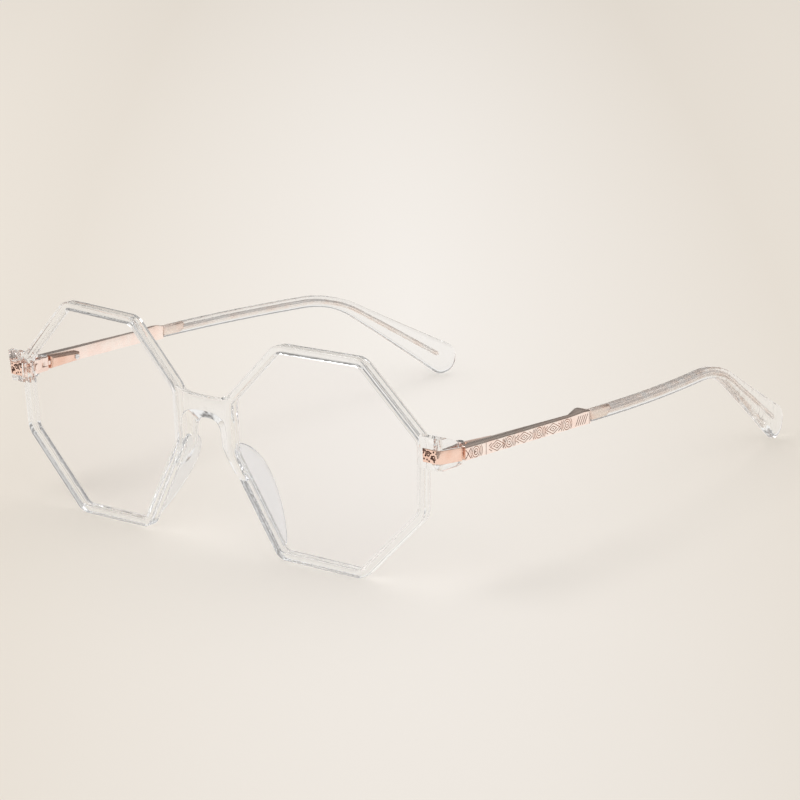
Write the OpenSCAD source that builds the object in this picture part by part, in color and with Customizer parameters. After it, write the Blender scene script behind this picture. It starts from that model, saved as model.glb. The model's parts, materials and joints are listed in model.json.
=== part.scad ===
// Octagonal eyeglasses: clear moulded front, engraved rose gold side bars with
// sprung hinges, clear ear tips over a metal core. Millimetres, +Z up.
// The front faces -Y, the sides run back along +Y, and the wearer's left is +X.

/* [Rims] */
// Width of one rim, outside
rim_span = 58.4; // [54:0.2:64]
// Height of one rim, outside
rim_rise = 52.6; // [48:0.2:58]
// Face width of the rim
rim_face = 2.1; // [1.9:0.1:3]
// Depth of the rim, front to back
rim_depth = 3; // [2.8:0.1:4]
// Outside radius of the octagon's soft corners
corner_r = 4.5; // [3.4:0.1:7]
// Width and height cut off at the upper nose corner
top_in_x = 15.6; // [12:0.1:18]
top_in_z = 14.9; // [12:0.1:18]
// Width and height cut off at the upper outer corner
top_out_x = 17.3; // [14:0.1:20]
top_out_z = 16.7; // [14:0.1:18]
// Width and height cut off at the lower outer corner
low_out_x = 19.7; // [16:0.1:22]
low_out_z = 17.7; // [14:0.1:20]
// Width and height cut off at the lower nose corner
low_in_x = 14; // [11:0.1:17]
low_in_z = 23.9; // [20:0.1:26]
// How far the outer side leans in at its foot
side_lean = 0.9; // [0:0.1:2]
// How far the bottom side rises towards the nose
sole_lift = 0.8; // [0:0.1:2]
// Depth of the lens groove
groove_deep = 0.6; // [0.4:0.05:0.7]
// Width of the lens groove
groove_w = 1.1; // [0.8:0.05:1.4]

/* [Bridge] */
// Gap between the two rims
bridge_gap = 15.2; // [13:0.2:20]
// Turn of each rim back from the bridge, in degrees
wrap = 4; // [0:0.5:8]
// Height of the bridge's upper edge
bridge_top = 37.3; // [36:0.1:39]
// Height of the bridge's front arch
arch_top = 33.5; // [32.6:0.1:34.5]
// Height of the saddle arch behind it
saddle_top = 31.4; // [30:0.1:32.4]
// Width between the saddle's legs
saddle_w = 8.4; // [7.6:0.2:10]

/* [Lenses] */
// Thickness of a lens
lens_t = 1.4; // [1.2:0.1:2]
// Clearance between a lens and its rim
lens_gap = 0.1; // [0.05:0.01:0.15]

/* [Nose pads] */
// Depth of a pad behind the rim
pad_deep = 5.3; // [4:0.1:8]
// Thickness of a pad
pad_t = 1.5; // [1.2:0.1:1.8]
// Length of a pad along the rim
pad_len = 26.5; // [22:0.5:28]
// Splay of a pad away from the nose, in degrees
pad_splay = 15; // [5:1:25]

/* [Lugs and corner plates] */
// Distance the lug stands out from the rim
lug_out = 4.6; // [4.2:0.1:6]
// Length of the lug behind the rim's front
lug_len = 7.5; // [7.2:0.1:10]
// Height of the lug where it leaves the rim
lug_rise = 8.3; // [7.6:0.1:9.5]
// Thickness of the lug behind the rim
lug_t = 3; // [2.8:0.1:3.4]
// Height of the corner plate
plate_h = 3.2; // [2.8:0.1:3.4]
// Thickness of the corner plate
plate_t = 0.8; // [0.7:0.05:1]
// Length of the corner plate's front arm
plate_front = 3.9; // [3:0.1:4]
// Height of the corner plate's middle at the front, from the rim's outer upper corner
plate_z = -3.2; // [-3.6:0.1:-2.9]

/* [Hinges] */
// Height of the hinge's middle, from the rim's outer upper corner
hinge_z = -4.15; // [-4.5:0.05:-3.9]
// Distance of the pivot behind the lug
pivot_back = 2.1; // [2:0.05:2.6]
// Distance of the pivot inside the lug's outer face
pivot_in = 2.4; // [2.3:0.05:2.7]
// Radius of the hinge barrels
barrel_r = 1.25; // [1.15:0.05:1.35]
// Height of the three barrels together
barrel_h = 3.3; // [3:0.1:3.6]
// Height of the middle barrel
mid_h = 1.1; // [0.9:0.1:1.3]
// Clearance between one barrel and the next
barrel_gap = 0.05; // [0.03:0.01:0.1]
// Radius of the hinge screw's shank
screw_r = 0.6; // [0.5:0.05:0.7]
// Running clearance round shanks and rods
run_gap = 0.04; // [0.02:0.01:0.08]
// Radius of the leaf's rivets
rivet_r = 0.5; // [0.4:0.05:0.6]
// Length of the spring housing
housing_len = 9.7; // [9:0.1:12]
// Turns of the housing spring
spring_turns = 9; // [6:1:12]

/* [Side bars] */
// Length of the engraved bar
bar_len = 44; // [40:0.5:55]
// Height of the bar
bar_h = 3.3; // [3:0.1:4]
// Thickness of the bar
bar_t = 2.2; // [2:0.1:2.6]
// Droop of the side bar, in degrees
droop = 2.6; // [1:0.1:4]
// Gap between the lug and the bar's front end
bar_gap = 0.5; // [0.4:0.05:0.7]
// Length of the hatched collar at the bar's rear end
collar_len = 5.4; // [4:0.1:7]
// Height of the wedge on the collar
wedge_h = 0.7; // [0.3:0.1:1.2]
// Depth of the engraved lines
cut_deep = 0.15; // [0.1:0.01:0.25]
// Width of the engraved lines
cut_w = 0.24; // [0.16:0.02:0.3]
// Distance from one medallion to the next
medal_pitch = 10.1; // [9:0.1:12]

/* [Ear tips] */
// Height of the tip at the bar
tip_h = 3; // [2.8:0.1:4]
// Thickness of the tip
tip_t = 2.5; // [2.4:0.1:3]
// Distance from the pivot to the ear bend
bend_at = 99.5; // [90:0.5:106]
// Turn of the ear bend, in degrees
bend_turn = 31; // [26:0.5:36]
// Radius of the ear bend
bend_r = 32; // [24:1:40]
// Radius of the round end
end_r = 4.3; // [3.4:0.1:5]
// Radius of the side's curve towards the head, from the bar to the ear bend
curl_r = 245; // [200:5:400]
// Diameter of the core wire
wire_d = 1.2; // [1:0.05:1.4]
// Height of the flat core plate
core_h = 1.8; // [1.4:0.1:2]
// Length of the flat core plate
core_len = 7.8; // [6:0.2:10]

/* [Hidden] */
$fn = 48;
nudge = 0.01;
clear_plastic = [0.90, 0.93, 0.93, 0.55];
clear_lens = [0.90, 0.95, 1.00, 0.30];
rose_gold = [0.86, 0.62, 0.52];
steel = [0.72, 0.72, 0.74];

// Octagon of the +X rim, clockwise from the upper nose corner, as [x, z]
nose_x = bridge_gap / 2;
side_x = nose_x + rim_span;
octagon = [
    [nose_x + top_in_x, rim_rise], [side_x - top_out_x, rim_rise],
    [side_x, rim_rise - top_out_z], [side_x - side_lean, low_out_z],
    [side_x - low_out_x, 0], [nose_x + low_in_x, sole_lift],
    [nose_x, low_in_z], [nose_x, rim_rise - top_in_z]
];
arc_steps = 5;
corners = len(octagon);

// Angle of the outward normal of the side that starts at corner i
function side_angle(i) = let (a = octagon[i % corners], b = octagon[(i + 1) % corners])
    atan2(b[0] - a[0], a[1] - b[1]);
function unit(a) = [cos(a), sin(a)];
// Meeting point of the two sides at corner i, both moved in by d
function inner_corner(i, d) = let (
    m = unit(side_angle(i + corners - 1)), n = unit(side_angle(i)),
    p = m * octagon[i] - d, q = n * octagon[i] - d, det = m[0] * n[1] - m[1] * n[0])
    [(p * n[1] - q * m[1]) / det, (q * m[0] - p * n[0]) / det];
function reversed(l) = [for (k = [len(l) - 1:-1:0]) l[k]];
function turn_right(a, b) = -((((a - b) % 360) + 360) % 360);
// Outline of the rim moved in by d, with soft corners
function rim_line(d) = [for (i = [0:corners - 1]) let (
    a = side_angle(i + corners - 1), t = turn_right(a, side_angle(i)))
    for (k = [0:arc_steps]) inner_corner(i, corner_r) + (corner_r - d) * unit(a + t * k / arc_steps)];
// Height that the soft corner lifts off the table
foot_z = inner_corner(4, corner_r)[1] - corner_r;

// Cross-section of the rim, as [distance in from the outline, depth]
edge_r = 0.5;
groove_y = rim_depth / 2;
function quarter(cx, cy, a) = [for (k = [0:3]) [cx, cy] + edge_r * unit(a + 30 * k)];
rim_section = concat(
    quarter(edge_r, edge_r, 180), quarter(rim_face - edge_r, edge_r, 270),
    [[rim_face, groove_y - groove_w / 2], [rim_face - groove_deep, groove_y]],
    [[rim_face, groove_y + groove_w / 2]],
    quarter(rim_face - edge_r, rim_depth - edge_r, 0), quarter(edge_r, rim_depth - edge_r, 90));

// Lug, plate and hinge places on the +X side
shoulder = rim_rise - top_out_z;
plate_mid = shoulder + plate_z;
hinge_mid = shoulder + hinge_z;
lug_front = (side_x - nose_x) * sin(wrap);
lug_side = nose_x + (side_x - nose_x) * cos(wrap) + lug_out;
lug_back = lug_front + lug_len;
lug_in = lug_side - lug_t;
lug_over = 1.6;
lug_top = shoulder - foot_z + lug_over;
lug_foot = lug_top - lug_rise;
lug_round = 1.6;
plate_proud = 0.15;
plate_bed = 0.02;
leaf_t = 0.8;
leaf_x = lug_in - leaf_t;
leaf_y = lug_front + rim_depth + 0.05;
rivet_head_r = rivet_r + 0.35;
rivet_y = [leaf_y + rivet_head_r + 0.15, lug_back - rivet_head_r - 0.4];
pivot = [lug_side - pivot_in, lug_back + pivot_back, hinge_mid];

// Places along the side, measured from the pivot
bar_y = bar_gap - pivot_back;
bar_proud = 0.8;
bar_out = pivot_in + bar_proud;
bar_in = bar_out - bar_t;
bar_end = bar_y + bar_len;
wedge_run = 1.7;
housing_y = 1.7;
housing_in = -1.3;
housing_wall = 0.3;
rod_x = (housing_in + bar_in) / 2;
chamber_r = rod_x - housing_in - housing_wall;
chamber_y = housing_y + 1.7;
spring_wire = 0.13;
spring_r = chamber_r - spring_wire - 0.1;
rod_r = spring_r - spring_wire - 0.07;
lock_r = 0.4;
lock_y = housing_y + housing_len - 1.3;
chamber_end = lock_y - lock_r - 0.6;
head_t = 0.6;
head_y = chamber_end - head_t - 0.2;
tip_y = bar_end + 0.02;
tip_mid = bar_out - bar_t / 2;
curl_at = bar_end + 1;

// A point of the side's curved sheet: s along it, h up, t out from its middle.
// It is straight along the bar, turns towards the head and is straight again past the ear bend.
function sheet(s, h, t) = let (
    curl = min(max(s - curl_at, 0), bend_at - curl_at), rest = max(s - bend_at, 0),
    a = curl / curl_r * 180 / PI)
    [tip_mid - curl_r * (1 - cos(a)) - rest * sin(a) + t * cos(a),
    min(s, curl_at) + (curl_r + t) * sin(a) + rest * cos(a), h];
// The bend's line in that sheet: [s, h, slope] at distance p past the bend's corner
bend_tan = bend_r * tan(bend_turn / 2);
function bent(p) = p < -bend_tan ? [bend_at + p, 0, 0]
    : p > bend_tan ? [bend_at + p * cos(bend_turn), -p * sin(bend_turn), bend_turn]
    : let (a = (p + bend_tan) / (2 * bend_tan) * bend_turn)
        [bend_at - bend_tan + bend_r * sin(a), -bend_r * (1 - cos(a)), a];
tip_start = tip_y - bend_at;
// A point of the side in the object's own directions, measured from the pivot
function turned(v) = [v[0], v[1] * cos(droop) + v[2] * sin(droop), v[2] * cos(droop) - v[1] * sin(droop)];
// A point beside the tip's line, at distance p past the bend
function loop_point(p, up, out) = let (b = bent(p)) sheet(b[0] + up * sin(b[2]), b[1] + up * cos(b[2]), out);
// Distance past the bend at which the round end rests on the table, by halving a span
function find_drop(low, high, n) = let (p = (low + high) / 2)
    n == 0 ? p : hinge_mid + turned(loop_point(p, 0, 0))[2] > end_r
        ? find_drop(p, high, n - 1) : find_drop(low, p, n - 1);
drop_len = find_drop(bend_tan, 4 * hinge_mid, 20);
flare = 1.2;
function tip_half(p) = tip_h / 2 + (end_r - tip_h / 2) * pow(max(p, 0) / drop_len, flare);
straight_steps = 6;
bend_steps = 8;
drop_steps = 8;
end_steps = 8;
// Stations of the tip: [distance past the bend, half height, half thickness]
tip_stations = concat(
    [for (k = [0:straight_steps]) let (p = tip_start + (-bend_tan - tip_start) * k / straight_steps)
        [p, tip_h / 2, tip_t / 2]],
    [for (k = [1:bend_steps]) let (p = bend_tan * (2 * k / bend_steps - 1)) [p, tip_half(p), tip_t / 2]],
    [for (k = [1:drop_steps]) let (p = bend_tan + (drop_len - bend_tan) * k / drop_steps)
        [p, tip_half(p), tip_t / 2]],
    [for (k = [1:end_steps]) let (a = 88 * k / end_steps)
        [drop_len + end_r * sin(a), end_r * cos(a), tip_t / 2 * pow(cos(a), 0.4)]]);
wire_lift = 0.35;
wire_end = drop_len - 1.6;
wire_start = tip_start + core_len - 0.6;
wire_steps = 22;
wire_stations = [for (k = [0:wire_steps]) wire_start + (wire_end - wire_start) * k / wire_steps];
wire_room = 0.04;

// A closed loop at one station: a soft rectangle across the tip's line
function soft(a, n) = [sign(cos(a)) * pow(abs(cos(a)), n), sign(sin(a)) * pow(abs(sin(a)), n)];
function tip_loop(s) = [for (k = [0:19]) let (c = soft(18 * k, 0.55))
    loop_point(s[0], s[1] * c[1], s[2] * c[0])];
function wire_loop(p, r) = [for (k = [0:9])
    loop_point(p, wire_lift * max(min(p / 10, 1), 0) + r * sin(36 * k), r * cos(36 * k))];

// The object's middle along Y, so that the origin is under its box's middle
tip_ends = [for (k = [0:19]) for (s = tip_stations) turned(tip_loop(s)[k])];
back_y = pivot[1] + max([for (v = tip_ends) v[1]]);
mid_y = back_y / 2;

// Skin of a list of loops with equal point counts, closed at both ends by a fan round the loop's middle
module skin(loops) {
    n = len(loops[0]);
    last = len(loops) - 1;
    middles = [for (l = [loops[0], loops[last]]) [for (p = l) 1 / n] * l];
    hub = (last + 1) * n;
    polyhedron(
        points = concat([for (l = loops) each l], middles),
        faces = [for (j = [0:n - 1]) let (next = (j + 1) % n) each concat(
            [for (i = [0:last - 1]) each [
                [i * n + j, i * n + next, (i + 1) * n + next],
                [i * n + j, (i + 1) * n + next, (i + 1) * n + j]]],
            [[hub, next, j], [hub + 1, last * n + j, last * n + next]])],
        convexity = 10);
}

// Skin of loops that join end to start
module ring_skin(loops) {
    n = len(loops[0]);
    m = len(loops);
    polyhedron(
        points = [for (l = loops) each l],
        faces = [for (i = [0:m - 1]) for (j = [0:n - 1]) let (
            here = i * n, ahead = ((i + 1) % m) * n, next = (j + 1) % n)
            each [[here + j, ahead + next, here + next], [here + j, ahead + j, ahead + next]]],
        convexity = 10);
}

// Slab with a different outline at each depth, from a list of [depth, outline]
module layers(list) {
    skin([for (s = list) [for (p = s[1]) [p[0], s[0], p[1]]]]);
}

// Solid with the given [y, z] outline, from x0 to x1
module side_slab(outline, x0, x1) {
    translate([x0, 0, 0]) rotate([90, 0, 90]) linear_extrude(x1 - x0) polygon(outline);
}

// Puts a piece of the +X side in the object's frame, or its mirror image
module placed(side) {
    translate([0, -mid_y, 0]) mirror([side > 0 ? 0 : 1, 0, 0]) children();
}

// Frame of one rim's plane, turned back from the bridge
module rim_plane() {
    translate([nose_x, 0, -foot_z]) rotate([0, 0, wrap]) translate([-nose_x, 0, 0]) children();
}

// Frame of one side: Y runs back along the bar from the pivot
module side_frame() {
    translate(pivot) rotate([-droop, 0, 0]) children();
}

module rim() {
    lines = [for (s = rim_section) rim_line(s[0])];
    count = len(lines[0]);
    rim_plane() ring_skin([for (i = [0:count - 1])
        [for (j = [0:len(rim_section) - 1]) [lines[j][i][0], rim_section[j][1], lines[j][i][1]]]]);
}

// Half of an arch, from the middle down to its spring: half width, top, spring height
arch_steps = 8;
function half_arch(w, top, spring) = [for (k = [0:arch_steps]) let (c = soft(90 - 90 * k / arch_steps, 0.75))
    [w * c[0], spring + (top - spring) * c[1]]];
// Nose side of the rim's outline at height z
function rim_x(z) = nose_x + max(low_in_z - z, 0) * low_in_x / (low_in_z - sole_lift);
// Points inside the rim by in, at heights measured from its lower nose corner
function in_rim(in, heights) = [for (d = heights) [rim_x(low_in_z + d) + in, low_in_z + d]];
// Legs of the front arch, inside the rim, and of the saddle behind it, both with one foot
leg_foot = in_rim(0.3, [-6.6]);
front_leg = concat(in_rim(0.7, [1.1, -1.3, -4.6]), leg_foot);
saddle_leg = concat([for (s = [[0.3, 1.1], [1.6, -1.3], [4, -4.6]])
    [min(saddle_w / 2 + s[0], rim_x(low_in_z + s[1]) + 0.7), low_in_z + s[1]]], leg_foot);
// Upper edge from the middle to the rim, then down inside the rim, with a point for each one below
function upper_edge(top) = let (corner_z = rim_rise - top_in_z) concat(
    [for (k = [0:4]) [(nose_x - 1.8) * k / 4, top + 0.2 * k / 4]],
    [[nose_x - 0.2, top + 0.7], [nose_x + 2, corner_z + 1], [nose_x + 1.2, corner_z - 1.7]],
    [[nose_x + 1.2, arch_top - 2]], in_rim(1.2, [2.6, 0.1, -3.3, -5.6]));

// Web between the rims, swept from foot to foot over the arch
module bridge() {
    recess = 0.35;
    front_back = recess + 0.45;
    saddle_front = rim_depth * 0.6;
    saddle_back = rim_depth - 0.1;
    front = concat(half_arch(nose_x - 0.4, arch_top, arch_top - 3.7), front_leg);
    back = concat(half_arch(saddle_w / 2, saddle_top, saddle_top - 4), saddle_leg);
    front_up = upper_edge(bridge_top);
    back_up = upper_edge(bridge_top - 0.8);
    // Round the section, as [line, depth]
    section = [
        [front, recess], [front, front_back], [back, saddle_front], [back, saddle_back],
        [back_up, saddle_back], [back_up, saddle_front], [front_up, front_back], [front_up, recess]
    ];
    last = len(front) - 1;
    translate([0, 0, -foot_z]) skin([for (k = [last:-1:-last])
        [for (s = section) let (p = s[0][abs(k)]) [sign(k) * p[0], s[1], p[1]]]]);
}

// Outline of the lug's round outer corner, moved out by d, from its front to its side
function lug_corner(d) = [for (k = [0:6])
    [lug_side - lug_round, lug_front - 0.1 + lug_round] + (lug_round + d) * unit(15 * k - 90)];

// Clear end piece on the rim's outer upper corner, grooved for the corner plate
module lug() {
    rear_x = side_x - 1.4;
    plan = concat(
        [[rear_x, lug_front - 0.1]], lug_corner(0), [[lug_side, lug_back], [lug_in, lug_back],
        [lug_in, lug_front + rim_depth - 0.1], [rear_x, lug_front + rim_depth - 0.1]]);
    profile = [
        [lug_front - 0.2, lug_foot + 0.4], [lug_front + 0.4, lug_foot], [lug_front + 3.4, lug_foot - 0.3],
        [lug_back - 1, lug_foot - 0.2],
        [lug_back + nudge, hinge_mid - barrel_h / 2 - 0.6],
        [lug_back + nudge, hinge_mid + barrel_h / 2 + 1.3],
        [lug_back - 3.7, lug_top - 1.3],
        [lug_front + 1, lug_top], [lug_front - 0.2, lug_top - 0.5]
    ];
    intersection() {
        linear_extrude(lug_top + 1) polygon(plan);
        side_slab(profile, rear_x - 1, lug_side + 1);
    }
}

// Corner plate, grown by g all round but at the rear
module plate_block(g) {
    front_y = lug_front - 0.1 - plate_proud;
    half = plate_h / 2 + g;
    arm_x = lug_side - plate_front - g;
    intersection() {
        side_slab([
            [front_y - g, plate_mid - half], [lug_back, hinge_mid - half],
            [lug_back, hinge_mid + half], [front_y - g, plate_mid + half]], arm_x - 1, lug_side + 1);
        linear_extrude(2 * plate_mid) polygon(concat(
            [[arm_x, front_y]], lug_corner(plate_proud), [[lug_side + plate_proud, lug_back]],
            [[lug_side + plate_proud - plate_t - g, lug_back]],
            reversed(lug_corner(plate_proud - plate_t - g)), [[arm_x, front_y + plate_t + g]]));
    }
}

module rivet_holes(r) {
    for (y = rivet_y) translate([leaf_x - 1, y, hinge_mid]) rotate([0, 90, 0])
        cylinder(r = r, h = lug_side - leaf_x + 0.6);
}

module front_frame() {
    color(clear_plastic) difference() {
        union() {
            for (side = [1, -1]) mirror([side > 0 ? 0 : 1, 0, 0]) {
                rim();
                lug();
            }
            bridge();
        }
        for (side = [1, -1]) mirror([side > 0 ? 0 : 1, 0, 0]) {
            plate_block(plate_bed);
            rivet_holes(rivet_r + run_gap);
        }
    }
}

module lens() {
    edge = rim_face + lens_gap;
    apex = rim_face - groove_deep + 1.2 * lens_gap;
    bevel = (edge - apex) * groove_w / 2 / groove_deep;
    sections = [[-lens_t / 2, edge], [-bevel, edge], [0, apex], [bevel, edge], [lens_t / 2, edge]];
    color(clear_lens) rim_plane() layers([for (s = sections) [groove_y + s[0], reversed(rim_line(s[1]))]]);
}

// Fin behind the lower nose side of the rim, from a little above that side's upper corner
module nose_pad() {
    side = octagon[6] - octagon[5];
    lean = atan2(side[0], side[1]);
    fin_steps = 14;
    fin_rise = 1.8;
    fullest = 0.87;
    outline = concat([for (k = [0:fin_steps]) let (a = 180 * k / fin_steps, f = (1 - cos(a)) / 2)
        [pad_len * f, pad_deep / fullest * pow(sin(a), 1.1) * (1.15 - 0.7 * f)]],
        [[pad_len, -1.5], [0, -1.5]]);
    color(clear_plastic) rim_plane() intersection() {
        translate([octagon[6][0], rim_depth, octagon[6][1]]) rotate([0, lean + 180, 0])
            translate([-rim_face / 2 - 0.2, 0, -fin_rise]) rotate([0, 0, pad_splay])
            rotate([90, 0, 90]) translate([0, 0, -pad_t / 2]) linear_extrude(pad_t)
                polygon([for (p = outline) [p[1], p[0]]]);
        translate([nose_x - 4, rim_depth, -1]) cube([rim_span / 2, 2 * pad_deep, rim_rise]);
    }
}

// Scroll cut in the corner plate's front arm
module scroll_lines() {
    for (s = [1, -1]) translate([s * 0.72, 0]) {
        difference() {
            circle(r = 0.62);
            circle(r = 0.62 - cut_w);
            translate([s < 0 ? -0.1 : -0.7, -0.8]) square([0.8, 0.8]);
        }
        circle(r = 0.17);
    }
    for (z = [-1.05, 0.95]) translate([0, z]) circle(r = 0.3, $fn = 4);
}

module corner_plate() {
    color(rose_gold) difference() {
        plate_block(0);
        for (y = rivet_y) translate([0, y, hinge_mid]) rotate([0, 90, 0])
            cylinder(r = rivet_r + run_gap, h = lug_side - 0.25);
        translate([lug_side - plate_front / 2 - 0.5, lug_front - 0.1 - plate_proud + cut_deep,
            plate_mid - 0.1])
            rotate([90, 0, 0]) linear_extrude(1) scroll_lines();
    }
}

module hinge_leaf() {
    outer_h = (barrel_h - mid_h) / 2 - barrel_gap;
    color(steel) difference() {
        union() {
            translate([leaf_x, leaf_y, hinge_mid - barrel_h / 2])
                cube([leaf_t, lug_back + 0.4 - leaf_y, barrel_h]);
            for (z = [-barrel_h / 2, barrel_h / 2 - outer_h]) translate([0, 0, hinge_mid + z]) {
                translate([pivot[0], pivot[1], 0]) cylinder(r = barrel_r, h = outer_h);
                translate([leaf_x, lug_back, 0]) cube([pivot[0] - leaf_x, pivot_back, outer_h]);
            }
        }
        translate([pivot[0], pivot[1], hinge_mid - barrel_h])
            cylinder(r = screw_r + run_gap, h = 2 * barrel_h);
        rivet_holes(rivet_r + run_gap);
    }
}

module leaf_rivets() {
    color(steel) for (y = rivet_y) translate([leaf_x, y, hinge_mid]) rotate([0, 90, 0]) {
        cylinder(r = rivet_r, h = lug_side - 0.3 - leaf_x);
        translate([0, 0, -0.35]) cylinder(r = rivet_head_r, h = 0.35);
    }
}

module hinge_screw() {
    head_h = 0.5;
    color(steel) translate([pivot[0], pivot[1], hinge_mid]) difference() {
        union() {
            translate([0, 0, -barrel_h / 2]) cylinder(r = screw_r, h = barrel_h);
            translate([0, 0, barrel_h / 2 + 0.02]) cylinder(r = screw_r + 0.35, h = head_h);
            translate([0, 0, barrel_h / 2 - nudge]) cylinder(r = screw_r, h = 0.1);
        }
        translate([-2, -0.12, barrel_h / 2 + head_h - 0.22]) cube([4, 0.24, 1]);
    }
}

module flex_slider() {
    color(steel) difference() {
        union() {
            translate([pivot[0], pivot[1], hinge_mid - mid_h / 2]) cylinder(r = barrel_r, h = mid_h);
            side_frame() {
                translate([rod_x - 0.7, 0, -mid_h / 2 + 0.05]) cube([1.4, housing_y - 0.1, mid_h - 0.1]);
                translate([rod_x, 0, 0]) rotate([-90, 0, 0]) cylinder(r = rod_r, h = head_y + head_t);
                translate([rod_x, head_y, 0]) rotate([-90, 0, 0])
                    cylinder(r = spring_r + spring_wire, h = head_t);
            }
        }
        translate([pivot[0], pivot[1], hinge_mid - barrel_h])
            cylinder(r = screw_r + run_gap, h = 2 * barrel_h);
    }
}

module flex_spring() {
    span = head_y - chamber_y - 2 * spring_wire - 0.04;
    steps = 12;
    color(steel) side_frame() translate([rod_x, chamber_y + spring_wire + 0.02, 0])
        skin([for (k = [0:spring_turns * steps]) let (a = 360 * k / steps, f = k / (spring_turns * steps))
            [for (j = [0:5]) let (r = spring_r + spring_wire * cos(60 * j))
                [r * cos(a), span * f - spring_wire * sin(60 * j), r * sin(a)]]]);
}

module flex_housing() {
    half = barrel_h / 2 - 0.1;
    wide = bar_in - housing_in;
    rear_y = housing_y + housing_len;
    color(rose_gold) side_frame() difference() {
        intersection() {
            translate([housing_in, housing_y, -half]) cube([wide - nudge, housing_len, 2 * half]);
            translate([housing_in + 1.9, 0, 0]) rotate([-90, 0, 0]) cylinder(r = 2.2, h = 2 * housing_len);
            side_slab([[0, -half], [rear_y, 0.5 - half], [rear_y, half - 0.5], [0, half]],
                housing_in, bar_in);
        }
        translate([rod_x, 0, 0]) rotate([-90, 0, 0]) {
            cylinder(r = rod_r + run_gap, h = chamber_y + 1);
            translate([0, 0, chamber_y]) cylinder(r = chamber_r, h = chamber_end - chamber_y);
        }
        translate([housing_in - 1, lock_y, 0]) rotate([0, 90, 0])
            cylinder(r = lock_r + run_gap, h = 2 * wide);
    }
}

module housing_screw() {
    color(steel) side_frame() translate([housing_in, lock_y, 0]) rotate([0, 90, 0]) difference() {
        union() {
            cylinder(r = lock_r, h = bar_in - housing_in + 0.4);
            translate([0, 0, -0.3]) cylinder(r = lock_r + 0.3, h = 0.3);
        }
        translate([-0.1, -1, -0.4]) cube([0.2, 2, 0.22]);
    }
}

// Engraved ornament in the bar's outer face, as [distance along the bar, height]
module hoop(r) {
    difference() {
        circle(r = r);
        circle(r = r - cut_w);
    }
}

module lozenge(w, h) {
    difference() {
        polygon([[-w, 0], [0, -h], [w, 0], [0, h]]);
        polygon([[cut_w * 1.5 - w, 0], [0, cut_w * 1.2 - h], [w - cut_w * 1.5, 0], [0, h - cut_w * 1.2]]);
    }
}

module bar_ornament() {
    reach = bar_h / 2 - 0.3;
    first = 6.3;
    medals = floor((bar_len - collar_len - 2 - first) / medal_pitch);
    // Lattice cross behind the hinge
    for (x = [1.2, 2.2, 3.2]) for (a = [38, -38]) translate([x, 0]) rotate(a)
        square([cut_w, 2.5 * reach], center = true);
    for (k = [0:medals]) translate([first + k * medal_pitch, 0]) {
        hoop(reach);
        hoop(reach * 0.62);
        circle(r = reach * 0.22);
        if (k < medals) translate([medal_pitch / 2, 0]) {
            lozenge(2.5, reach);
            lozenge(1.5, reach * 0.62);
            circle(r = 0.22, $fn = 4);
            for (s = [1, -1]) translate([s * 2.9, 0]) rotate(45) square(cut_w * 1.4, center = true);
        }
    }
    // Divider line where the spring housing ends
    translate([first + medal_pitch / 2 - 1.4, 0]) square([cut_w * 0.8, 2 * reach + 0.4], center = true);
    // Hatching in front of the collar
    for (k = [0:4]) translate([bar_len - collar_len + 0.2 + 0.8 * k, 0]) rotate(-28)
        square([cut_w, 2 * reach], center = true);
}

module temple_bar() {
    half = bar_h / 2;
    soften = 0.35;
    pocket_r = barrel_r + 0.3;
    apex_y = bar_end - collar_len / 2;
    outline = [
        [bar_y, -half + soften], [bar_y + soften, -half], [bar_end - 0.2, -half], [bar_end, -half + 0.2],
        [bar_end, half], [apex_y + 0.5, half + wedge_h - 0.05], [apex_y - 0.2, half + wedge_h],
        [apex_y - 0.8, half + wedge_h - 0.1], [bar_end - collar_len - wedge_run, half],
        [bar_y + soften, half], [bar_y, half - soften]
    ];
    color(rose_gold) side_frame() difference() {
        side_slab(outline, bar_in, bar_out);
        // Room for the barrels, open in front for the housing's travel
        translate([0, 0, -bar_h]) {
            cylinder(r = pocket_r, h = 2 * bar_h);
            translate([0, bar_y - 1, 0]) cube([pocket_r, 1 - bar_y, 2 * bar_h]);
        }
        translate([housing_in, lock_y, 0]) rotate([0, 90, 0])
            cylinder(r = lock_r + run_gap, h = bar_in - housing_in + 0.5);
        // Soft long edges
        for (z = [-1, 1]) translate([bar_out, bar_y + bar_len / 2, z * half]) rotate([0, 45, 0])
            cube([soften, 1.2 * bar_len, soften], center = true);
        translate([bar_out - cut_deep, bar_y, 0]) rotate([90, 0, 90]) linear_extrude(1) bar_ornament();
    }
}

// Flat core plate with its chamfered end, grown by g
module core_flat(g) {
    half = core_h / 2 + g;
    end = tip_y + core_len + g;
    side_slab([
        [tip_y - g, -half], [end - 1.6, -half], [end, -half + 1.1], [end, half - 0.2], [end - 0.6, half],
        [tip_y - g, half]], tip_mid - 0.45 - g, tip_mid + 0.45 + g);
}

module core_solid(g) {
    side_frame() {
        core_flat(g);
        skin([for (p = wire_stations) wire_loop(p == wire_end ? p + g : p, wire_d / 2 + g)]);
    }
}

module core_wire() {
    color(rose_gold) core_solid(0);
}

module temple_tip() {
    color(clear_plastic) difference() {
        side_frame() skin([for (s = tip_stations) tip_loop(s)]);
        core_solid(wire_room);
    }
}

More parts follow.
